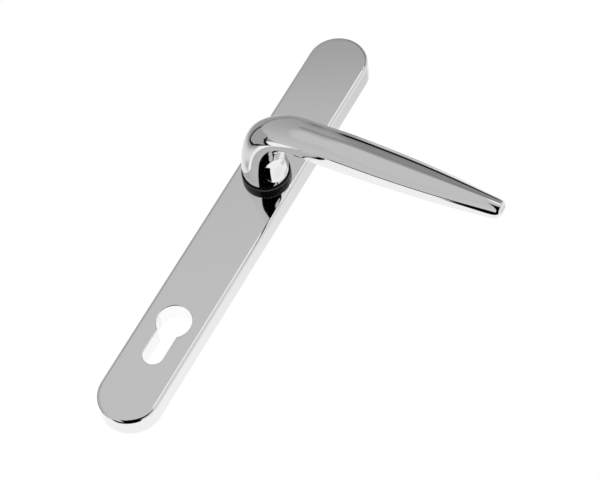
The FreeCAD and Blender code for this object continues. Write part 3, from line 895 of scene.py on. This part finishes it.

# %% [markdown]
# ### The plated casting
# The plating hardly reaches the hollow behind the plate, so there the casting stays dull and grainy. Two materials on
# chosen faces would need the faces picked out. One finish with masks needs only sizes: how far a point lies inside the
# outline, and how far from the cut-out. The walls of the cut-out get a paler colour than the outside: a painted
# brighter reflection.

# %% Masks on the plate
PLATE_TOP, PLATE_BOTTOM, PLATE_HALF = 90.0, -150.0, 15.4
CYLINDER_Z, CYLINDER, TAIL_Z, TAIL = -92.0, 8.7, -111.85, 5.25
RIM_FROM, RIM_TO = 1.5, 1.8
FRONT_FROM, FRONT_TO = 10.6, 10.2
SKIN_FROM, SKIN_TO = 0.2, 0.6
FAR_OFF = 20.0


def coordinate(place, axis):
    return place.node("ShaderNodeSeparateXYZ", {}, {"Vector": place}, axis)


def reach(a, b):
    return (a * a + b * b) ** 0.5


casting, shader, place, gloss, waves = chrome_base("plated_casting")
x_mm = coordinate(place, "X") / MM
y_mm = coordinate(place, "Y") / MM
z_mm = coordinate(place, "Z") / MM

middle = (PLATE_TOP + PLATE_BOTTOM) / 2
straight = (PLATE_TOP - PLATE_BOTTOM) / 2 - PLATE_HALF
past_ends = ((z_mm - middle).math("ABSOLUTE") - straight).math("MAXIMUM", 0.0)
within_rim = reach(x_mm, past_ends).step(PLATE_HALF - RIM_FROM, PLATE_HALF - RIM_TO)
behind = y_mm.step(-FRONT_FROM, -FRONT_TO)
round_part = reach(x_mm, z_mm - CYLINDER_Z)
below_round = (z_mm * -1.0 + CYLINDER_Z).math("MAXIMUM", 0.0)
past_tail = (z_mm * -1.0 + TAIL_Z).math("MAXIMUM", 0.0)
tail_part = reach(x_mm, past_tail) + below_round.step(0.1, 0.0) * FAR_OFF
off_round = round_part.step(CYLINDER + SKIN_FROM, CYLINDER + SKIN_TO)
off_tail = tail_part.step(TAIL + SKIN_FROM, TAIL + SKIN_TO)
cutout_wall = 1.0 - off_round * off_tail
raw = within_rim * behind * (1.0 - cutout_wall)
print("The rim's middle is at", middle, "mm and its straight part is", 2 * straight, "mm long")

# %% [markdown]
# ### Raw zinc and threads
# Cast zinc has a fine grain, and a skin that is duller in some places than in others. The tapped lugs show their
# thread. A cut thread would cost many thousands of faces for two holes that are seldom seen, so it is a bump that winds
# round each hole.

# %% Plated casting
PAINTED_BRIGHT_WALL = grey(1.0)
RAW_ZINC = (0.42, 0.42, 0.43, 1.0)
GRAIN_SCALE, GRAIN_DEPTH = 2600.0, 0.00004
SKIN_SCALE = 260.0
RAW_GLOSS, RAW_SPREAD = 0.38, 0.2
THREAD_PITCH, THREAD_DEPTH = 0.8, 0.00035
THREAD_FROM, THREAD_TO = 2.35, 2.2
LUGS = (77.5, -137.5)


def mix(share, first, second):
    """A colour between two others."""
    return share.node("ShaderNodeMix", {"data_type": "RGBA"}, {0: share, 6: first, 7: second}, 2)


grain = noise(place, GRAIN_SCALE, 4.0)
cast_skin = noise(place, SKIN_SCALE)
# The cut-out's walls get a paler colour than the rest of the chrome: a painted brighter reflection.
link(mix(raw, mix(cutout_wall * behind, CHROME_TINT, PAINTED_BRIGHT_WALL), RAW_ZINC), shader.inputs["Base Color"])
link(over(gloss, raw, RAW_GLOSS + RAW_SPREAD * cast_skin), shader.inputs["Roughness"])
winding = 0.0
for lug_z in LUGS:
    turn = (z_mm - lug_z).math("ARCTAN2", x_mm) / (2 * math.pi)
    ridge = (turn + y_mm / THREAD_PITCH).math("FRACT")
    in_hole = raw * reach(x_mm, z_mm - lug_z).step(THREAD_FROM, THREAD_TO)
    winding = in_hole * (ridge - 0.5).math("ABSOLUTE") + winding
link(bump(winding * 2.0, THREAD_DEPTH, bump(grain * raw, GRAIN_DEPTH, waves)), shader.inputs["Normal"])
wear(plate, casting)

# %% [markdown]
# ### Black nylon
# Moulded nylon with some glass in it: nearly black, half dull, with a fine grain. Below its rounded shoulder runs a
# thin grey line, a painted highlight: a band of paler colour stands in for the light that the shoulder catches.

# %% Black nylon
NYLON_DARK, NYLON_PALE, NYLON_PAINTED_HIGHLIGHT = grey(0.003), grey(0.009), grey(0.12)
NYLON_GLOSS, NYLON_SPREAD = 0.2, 0.12
NYLON_SPECULAR = 0.08
NYLON_GRAIN_DEPTH = 0.00001
HIGHLIGHT_FROM, HIGHLIGHT_TO, HIGHLIGHT_EDGE = 14.0, 14.7, 0.25

nylon, shader, place = fresh("black_nylon")
height_mm = coordinate(place, "Y") / -MM
# A thin band of paler colour below the shoulder: a painted highlight.
painted_highlight_line = height_mm.step(HIGHLIGHT_FROM, HIGHLIGHT_FROM + HIGHLIGHT_EDGE) * height_mm.step(HIGHLIGHT_TO, HIGHLIGHT_TO - HIGHLIGHT_EDGE)
link(mix(painted_highlight_line, mix(noise(place, 900.0), NYLON_DARK, NYLON_PALE), NYLON_PAINTED_HIGHLIGHT), shader.inputs["Base Color"])
link(NYLON_GLOSS + NYLON_SPREAD * noise(place, 700.0), shader.inputs["Roughness"])
shader.inputs["Specular IOR Level"].default_value = NYLON_SPECULAR
link(bump(noise(place, 3000.0, 2.0), NYLON_GRAIN_DEPTH), shader.inputs["Normal"])
wear(collar, nylon)

# %% [markdown]
# ### Plastics and steels inside
# White acetal is waxy. The spring's wire keeps the fine lines of its drawing. The driver is a raw zinc casting, the
# retaining ring is oiled and nearly black, and the cover and its screws are pale zinc plate with a mottled sheen. Each
# could have a finish of its own making. They differ only in shade, gloss and grain, so one function makes them all, and
# five nodes of the packed model keep their shapes and just get theirs.

# %% Inner finishes
def plain_finish(name, dark, pale, metallic, low, high, scale, depth, stretch=(1.0, 1.0, 1.0)):
    """A finish whose shade, gloss and surface all vary with one noise of the given scale."""
    material, shader, place = fresh(name)
    pattern = noise(place, scale, 4.0, stretch)
    link(mix(pattern.step(0.3, 0.7), dark, pale), shader.inputs["Base Color"])
    link(low + (high - low) * pattern, shader.inputs["Roughness"])
    link(bump(noise(place, 4 * scale, 3.0, stretch), depth), shader.inputs["Normal"])
    shader.inputs["Metallic"].default_value = metallic
    return material


wire = plain_finish("spring_wire_steel", grey(0.30), grey(0.42), 1.0, 0.22, 0.36, 900.0, 0.000008, (1.0, 4.0, 1.0))
zinc_plate = plain_finish("pale_zinc_plate", grey(0.58, 0.02), grey(0.68, 0.03), 1.0, 0.26, 0.4, 220.0, 0.00001)
finishes = {
    "spring_driver": plain_finish("raw_zinc_casting", grey(0.36), grey(0.46), 1.0, 0.38, 0.55, 500.0, 0.00003),
    "spring_washer": wire,
    "circlip": plain_finish("dark_oiled_steel", grey(0.05), grey(0.09), 1.0, 0.32, 0.48, 700.0, 0.00001),
    "spring_cover": zinc_plate,
    "cover_screws": zinc_plate,
}
wear(washer, plain_finish("white_acetal", grey(0.74), grey(0.8), 0.0, 0.3, 0.42, 300.0, 0.000006))
wear(spring, wire)
for name, material in finishes.items():
    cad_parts[name].data.materials.clear()
    wear(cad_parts[name], material)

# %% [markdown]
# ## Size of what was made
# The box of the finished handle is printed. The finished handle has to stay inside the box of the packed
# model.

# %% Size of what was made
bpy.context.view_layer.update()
lowest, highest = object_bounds()
print("The finished box runs from", list(lowest), "to", list(highest))
